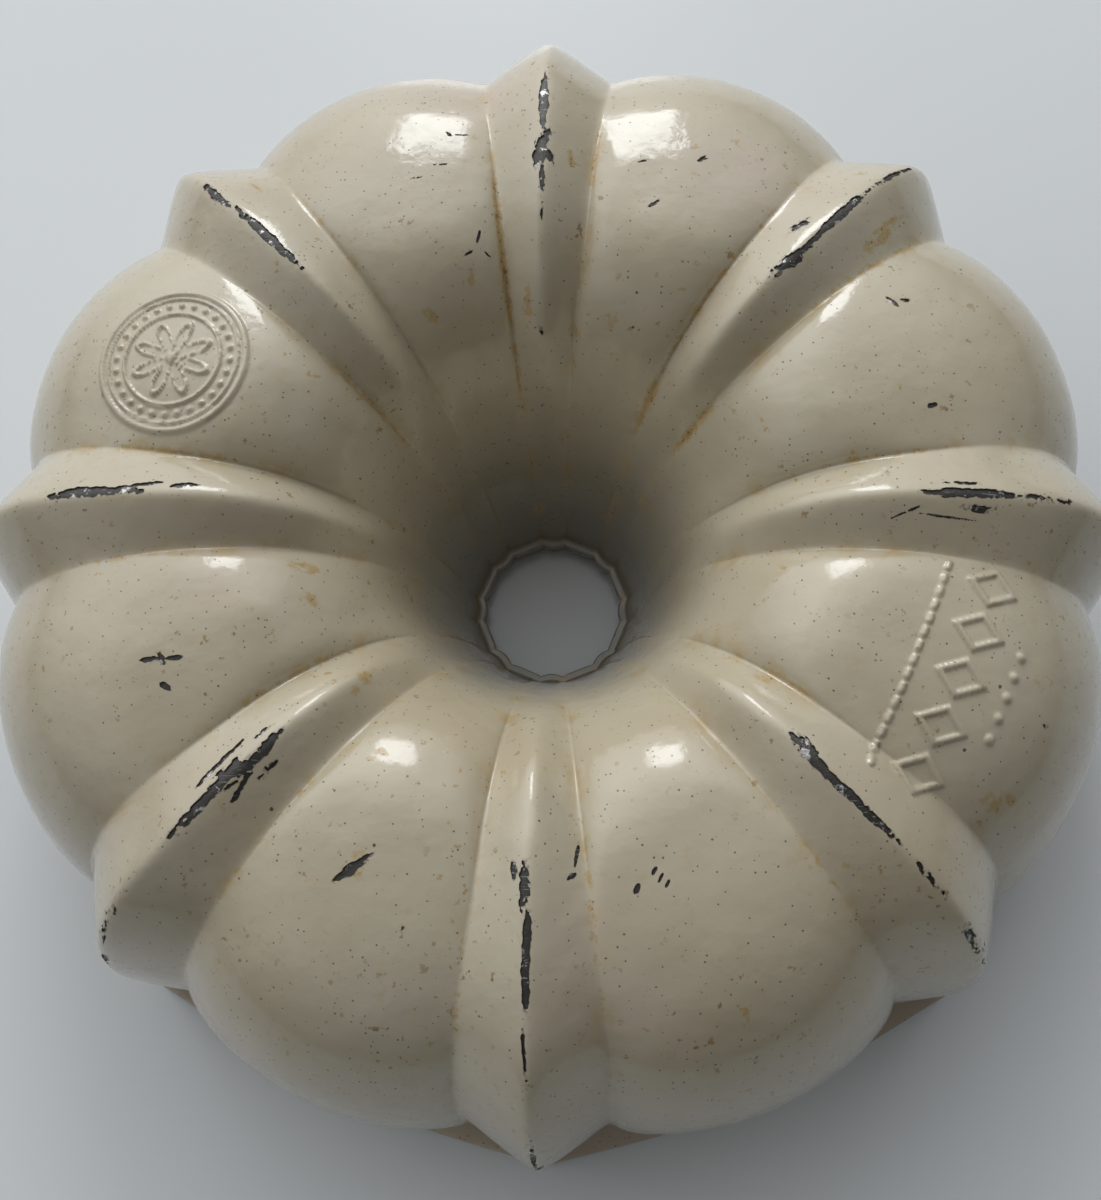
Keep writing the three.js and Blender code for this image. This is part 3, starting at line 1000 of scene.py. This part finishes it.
def enamel_material():
    """Glossy cream enamel, speckled, browned in the grooves and dirty round the chips."""
    made, tree, shader, coords = new_material("enamel_coat")
    colour, burn = browned(tree, coords, enamel_ground(tree, coords))
    pinholes = times(tree, specks(tree, coords, PINHOLES), PINHOLES_SHOW)
    dark_specks = larger(tree, pinholes, specks(tree, coords, BLACK_SPECKS))
    colour = blend(tree, times(tree, dark_specks, SPECKS_SHOW), flecked(tree, coords, colour), GRIME)
    peel = times(tree, noise(tree, coords, PEEL_NOISE), PEEL_HEIGHT)
    peel = plus(tree, peel, times(tree, noise(tree, coords, SWELL_NOISE), SWELL_HEIGHT))
    height = minus(tree, peel, times(tree, dark_specks, SPECK_DEPTH))
    fill(tree, shader, {
        **ENAMEL_GLOSS,
        "Base Color": grimy_chips(tree, coords, colour),
        "Roughness": plus(tree, pattern(tree, coords, ENAMEL_ROUGHNESS), times(tree, burn, BURN_ROUGHNESS)),
        "Normal": bumps(tree, height, ENAMEL_BUMPS),
    })
    return made


def metal_material():
    """Cast aluminium: nearly black in the chips, and rubbed bright in spots and under the rim."""
    made, tree, shader, coords = new_material("casting")
    scored = scratches(tree, coords, METAL_SCRATCHES)
    height = add(tree, "SeparateXYZ", {0: coords}).outputs["Z"]
    bare = larger(tree, pattern(tree, coords, METAL_RUBBED), times(tree, scored, METAL_SCRATCHES_SHOW))
    bare = larger(tree, bare, ranged(tree, height, UNDER_THE_RIM))
    dark = blend(tree, noise(tree, coords, METAL_NOISE), OXIDE, DULL)
    pits = plus(tree, noise(tree, coords, PIT_NOISE), times(tree, scored, SCRATCH_HEIGHT))
    fill(tree, shader, {
        "Base Color": blend(tree, bare, dark, BRIGHT),
        "Metallic": ranged(tree, bare, METALLIC),
        "Roughness": pattern(tree, coords, METAL_ROUGHNESS),
        "Normal": bumps(tree, pits, METAL_BUMPS),
    })
    return made


def nonstick_material():
    """Satin dark grey non-stick coat with fine flecks, baking film and knife scratches."""
    made, tree, shader, coords = new_material("nonstick_coat")
    flecks = times(tree, specks(tree, coords, NONSTICK_FLECKS), NONSTICK_FLECKS_SHOW)
    scored = larger(tree, *(scratches(tree, coords, look) for look in KNIFE_SCRATCHES))
    colour = blend(tree, pattern(tree, coords, NONSTICK_FILM), NONSTICK_GREY, BAKING_FILM)
    for light in (flecks, times(tree, scored, KNIFE_SCRATCHES_SHOW)):
        colour = blend(tree, light, colour, NONSTICK_LIGHT)
    fill(tree, shader, {
        "Base Color": colour,
        "Roughness": pattern(tree, coords, NONSTICK_ROUGHNESS),
        "Normal": bumps(tree, minus(tree, noise(tree, coords, NONSTICK_NOISE), scored), NONSTICK_BUMPS),
    })
    return made


def floor_material():
    """A white table top with a soft shine."""
    made, tree, shader, coords = new_material("table_top")
    colour = blend(tree, pattern(tree, coords, TABLE_TONE), TABLE_WHITE, TABLE_PALE)
    fill(tree, shader, {**TABLE_GLOSS, "Base Color": colour})
    return made


# ---------------------------------------------------------------- the setting

def make_floor():
    corners = np.array([(-1, -1, 0), (1, -1, 0), (1, 1, 0), (-1, 1, 0)]) * TABLE_HALF_SIDE / MM
    floor = mesh_object("table", corners, np.array([[0, 1, 2, 3]]))
    floor.location.z = CAD_BOX[0][2] - TABLE_GAP * MM
    floor.data.materials.append(floor_material())


def direction(azimuth, elevation):
    """A unit vector from angles in degrees."""
    azimuth, elevation = math.radians(azimuth), math.radians(elevation)
    flat = math.cos(elevation)
    return Vector((flat * math.cos(azimuth), flat * math.sin(azimuth), math.sin(elevation)))


def make_window():
    """A rectangular light to the north, aimed at the pan."""
    way = direction(*WINDOW_WAY)
    lamp = bpy.data.lights.new("window", "AREA")
    lamp.shape = "RECTANGLE"
    lamp.size, lamp.size_y = WINDOW_SIZE
    lamp.energy = WINDOW_POWER
    lamp.color = WINDOW_COLOUR
    made = bpy.data.objects.new("window", lamp)
    made.location = way * WINDOW_DISTANCE
    made.rotation_euler = way.to_track_quat("Z", "Y").to_euler()
    bpy.context.scene.collection.objects.link(made)


def make_room():
    """A room that is darkest overhead and to the south, with a glow round the window."""
    world = bpy.data.worlds.new("room")
    bpy.context.scene.world = world
    world.use_nodes = True
    tree = world.node_tree
    way = add(tree, "TexCoord", {}).outputs["Generated"]
    east, north, up = add(tree, "SeparateXYZ", {0: way}).outputs
    side = plus(tree, times(tree, north, ROOM_NORTH), times(tree, east, ROOM_EAST))
    wall = times(tree, plus(tree, side, ROOM_LEVEL), ranged(tree, up, ROOM_UPWARDS))
    strength = times(tree, wall, ranged(tree, up, ROOM_OVERHEAD))
    towards = vector(tree, "DOT_PRODUCT", way, direction(*GLOW_WAY)).outputs["Value"]
    strength = plus(tree, strength, ranged(tree, towards, GLOW))
    fill(tree, tree.nodes["Background"], {"Color": ROOM_COLOUR, "Strength": strength})


def make_camera():
    lens = bpy.data.cameras.new("camera")
    lens.sensor_width = SENSOR_WIDTH
    lens.lens = LENS
    lens.clip_start = NEAREST
    camera = bpy.data.objects.new("camera", lens)
    camera.location = CAMERA_AT
    camera.rotation_euler = CAMERA_TURN
    bpy.context.scene.collection.objects.link(camera)
    bpy.context.scene.camera = camera


def make_pan():
    for piece, material, node in (
        (enamel_piece(), enamel_material(), "enamel_coat"),
        (metal_piece(), metal_material(), "casting"),
        (nonstick_piece(), nonstick_material(), "nonstick_coat"),
    ):
        piece.data.materials.append(material)
        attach(piece, "root")
        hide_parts(node)


bpy.context.scene.view_settings.view_transform = "Standard"
make_pan()
make_floor()
make_window()
make_room()
make_camera()
